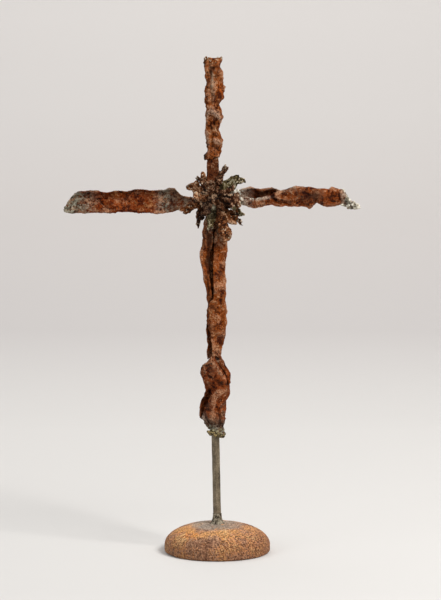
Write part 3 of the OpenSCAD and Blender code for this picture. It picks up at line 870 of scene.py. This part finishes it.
brown = burnt_plate(
    "petal_brown", tone(22, 9, 2), tone(92, 50, 24), tone(116, 68, 34), tone(190, 150, 118))
black = burnt_plate(
    "petal_black", tone(8, 4, 2), tone(54, 28, 12), tone(82, 48, 26), tone(160, 124, 98))
green = burnt_plate(
    "petal_green", tone(18, 13, 7), tone(74, 60, 34), tone(104, 92, 62), tone(178, 168, 144))
spatter = weld_skin("spatter", tone(52, 38, 26), tone(124, 102, 80), tone(214, 196, 170))
petal_skins = [brown, brown, black, black, black, green, black, black, green, brown, black, brown, green,
               brown, black, black, brown, black, brown]
hub_middle = np.array(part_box("rosette_hub")).mean(0) / MM
for number, skin in enumerate(petal_skins, start=1):
    petal = from_node(f"petal_piece_{number}", f"petal_{number}", cell=0.4, relief=0.6, seed=100 + number,
                      coarse=2.2, soften=1, warp=2.1)
    flake, _ = read_points(petal.data)
    away = np.linalg.norm((flake - hub_middle)[:, [0, 2]], axis=1)
    half_way = away.max() * 0.5
    keep_mark(petal, "edge", np.clip((away - half_way) / half_way, 0, 1) ** 2)
    # painted shade: the root mark darkens each petal near the hub
    keep_mark(petal, "root", 0.9 * near(away, 6, 14))
    petal.data.materials.append(skin)
    set_beads(petal, spatter, density=0.11, smallest=0.35, largest=1.0, seed=number)
    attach(petal, "root")
    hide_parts(f"petal_{number}")

# ---------------------------------------------------------------------------------------------
# Neck: a strip of iron that rises from the hub into the foot of the upper scrap and carries it.
# It is a little buckled, and darker than the scraps.
# ---------------------------------------------------------------------------------------------
neck = from_node("neck", "neck_strip", cell=0.45, relief=0.4, seed=91, coarse=4.0, soften=4)
neck.data.materials.append(scrap_rust(
    "neck_rust", tone(44, 18, 6), tone(78, 40, 20), tone(106, 54, 24), tone(112, 78, 54), 0.2))
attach(neck, "root")
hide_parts("neck_strip")

# ---------------------------------------------------------------------------------------------
# Upper scrap: a sheet rolled to a rough tube, with long vertical folds above and short creases
# across it below, their ridges painted pale as highlights. Knobs stand out on its right, its torn top is
# beaded and darkened by its top corners, partly with painted shade, and its lower left is darkened.
# ---------------------------------------------------------------------------------------------
top_rows = [
    [0.00, -15, 7.2, 2, 6.6, -104, 22], [0.04, -14.2, 7.2, 2, 7, -106, 18],
    [0.09, -11.6, 7.1, 2, 7.4, -110, 10], [0.18, -10.2, 9.3, 2, 7.8, -112, 7],
    [0.29, -11, 5.2, 2, 7.4, -112, 12], [0.41, -11, 9.2, 2, 7.8, -108, 22],
    [0.54, -12, 7.2, 2, 7.6, -106, 25], [0.59, -13.1, 10.3, 2, 7.8, -108, 18],
    [0.71, -14.2, 10.3, 2, 7.6, -110, 8], [0.84, -12.2, 8.2, 2, 7, -100, 8],
    [0.90, -14.2, 7.1, 2, 6.4, -74, 14], [0.95, -14.2, 8.2, 2, 5.8, -66, 20],
    [1.00, -12.6, 8, 2, 5, -60, 16]]
sheet, share, angle, fold = torn_sheet(
    top_rows, length=105, steps=200, span=120, seed=8, tear=2.0, edge_tear=1.2, slants=(2, 0.5),
    crumple=1.5,
    creases=[(0.95, -20, 0.55, -14, 1.6, 1.5), (0.9, 12, 0.5, 22, 1.8, 1.3),
             (0.42, -30, 0.1, -20, 2.0, 1.6), (0.47, -10, 0.36, 60, 1.4, -1.6),
             (0.36, 0, 0.27, 60, 1.4, 2.2), (0.24, -10, 0.17, 50, 1.4, 1.8),
             (0.12, 0, 0.07, 50, 1.6, 2.0)],
    bumps=[(0.71, 80, 2.2, 1.6), (0.61, 82, 2.2, 1.6), (0.41, 82, 2.0, 1.5), (0.18, 80, 2.0, 1.4),
           (0.15, 30, 3.4, 1.4), (0.3, 40, 3.4, 1.0)])
sheet = fit_to(sheet, "top_roll")
upper_marks = {
    # painted highlight: the melt mark here paints the ridges of the lower folds pale
    "melt_and_highlight": 0.5 * near(share, 0.3, 0.4) * np.clip(fold - 0.7, 0, 1),
    "burnt": 0.85 * near(share, 0.72, 0.2) * facing(angle, -8, 16),
    "fresh": 0.8 * near(share, 0.68, 0.14) * facing(angle, 45, 34) + 0.4 * near(share, 0.9, 0.08),
    # soot and painted shade: darkens the lower left, and paints shade under the top corners
    "soot_and_painted_shade": np.clip(1.6 * near(share, 0.04, 0.2) * facing(angle, -80, 50) + 1.5 * near(share, 0.94, 0.06)
                    * (facing(angle, -72, 34) + 0.6 * facing(angle, 75, 30)), 0, 1),
    "edge": near(share, 1, 0.05),
    "fold": fold}
upper = walled("upper_scrap", sheet, upper_marks, relief=0.7, seed=95)
upper.data.materials.append(scrap_rust(
    "upper_rust", tone(70, 28, 6), tone(112, 60, 26), tone(158, 82, 32), tone(196, 146, 106), 0.3))
set_beads(upper, spatter, density=0.14, smallest=0.5, largest=1.4, seed=9)
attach(upper, "root")
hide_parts("top_roll")

# ---------------------------------------------------------------------------------------------
# Floor, backdrop, light and camera: a pale sweep, a large soft light from the upper right
# front with two weaker ones, and a camera above the middle that looks slightly down.
# ---------------------------------------------------------------------------------------------


def sweep():
    """A floor that curves up into a backdrop, pale and warm, a little darker low down. It is
    clear from behind, so that the back of the cross can be seen too. Its sizes are in metres."""
    front, bend, radius, top, half_width = -3.0, 1.0, 1.2, 5.0, 5.0
    rows = [(front, 0.0), (bend, 0.0)]
    for k in range(1, 10):
        a = math.radians(k * 10)
        rows.append((bend + radius * math.sin(a), radius * (1 - math.cos(a))))
    rows.append((bend + radius, top))
    points = [(x / MM, y / MM, z / MM) for y, z in rows for x in (-half_width, half_width)]
    faces = [(2 * i, 2 * i + 1, 2 * i + 3, 2 * i + 2) for i in range(len(rows) - 1)]
    obj = make_mesh("sweep", points, faces)
    obj.data.shade_smooth()
    f = Finish("pale_paper")
    height = f.add("ShaderNodeSeparateXYZ", Vector=f.place).outputs["Z"]
    colour = f.ramp(f.span(height, 0.0, 0.7), [
        (0.0, tone(207, 205, 202)), (0.14, tone(190, 186, 184)), (0.43, tone(196, 191, 188)),
        (0.71, tone(203, 199, 196)), (1.0, tone(208, 204, 201))])
    f.tree.links.new(colour, f.shader.inputs["Base Color"])
    depth = f.add("ShaderNodeSeparateXYZ", Vector=f.place).outputs["Y"]
    f.tree.links.new(f.span(depth, -0.2, 0.9, 0.0, 0.13), f.shader.inputs["Emission Strength"])
    f.shader.inputs["Emission Color"].default_value = (1.0, 0.96, 0.92, 1.0)
    f.shader.inputs["Roughness"].default_value = 0.9
    f.shader.inputs["Specular IOR Level"].default_value = 0.1
    behind = f.add("ShaderNodeNewGeometry").outputs["Backfacing"]
    clear = f.add("ShaderNodeBsdfTransparent").outputs[0]
    one_sided = f.add("ShaderNodeMixShader", i0=behind, i1=f.shader.outputs[0], i2=clear).outputs[0]
    f.tree.links.new(one_sided, f.tree.nodes["Material Output"].inputs["Surface"])
    obj.data.materials.append(f.material)


def soft_light(name, place, aim, width, power, warmth):
    """A square soft light at a place, turned to face a point."""
    data = bpy.data.lights.new(name, "AREA")
    data.shape, data.size, data.energy, data.color = "SQUARE", width, power, warmth
    obj = bpy.data.objects.new(name, data)
    bpy.context.collection.objects.link(obj)
    turn = (Vector(place) - Vector(aim)).to_track_quat("Z", "Y")
    obj.matrix_world = Matrix.Translation(place) @ turn.to_matrix().to_4x4()


sweep()
centre = (0.0, 0.0, 0.28)
soft_light("key", (1.2, -1.0, 1.9), centre, 0.9, 57, (1.0, 0.985, 0.97))
soft_light("fill", (-1.8, -1.4, 1.1), centre, 1.2, 13, (0.97, 0.98, 1.0))
soft_light("back", (-0.5, 1.0, 2.3), centre, 1.6, 14, (0.97, 0.98, 1.0))

world = bpy.data.worlds.new("room")
bpy.context.scene.world = world
world.use_nodes = True
world.node_tree.nodes["Background"].inputs["Color"].default_value = tone(238, 238, 238)
world.node_tree.nodes["Background"].inputs["Strength"].default_value = 0.36

lens = bpy.data.cameras.new("camera")
lens.sensor_fit = "VERTICAL"
lens.sensor_height = 36
lens.lens = 123.2
camera = bpy.data.objects.new("camera", lens)
bpy.context.collection.objects.link(camera)
camera.location = (0.0035, -2.2, 0.4536)
camera.rotation_euler = (math.radians(85.32), 0, 0)
bpy.context.scene.camera = camera

bpy.context.scene.view_settings.view_transform = "Standard"
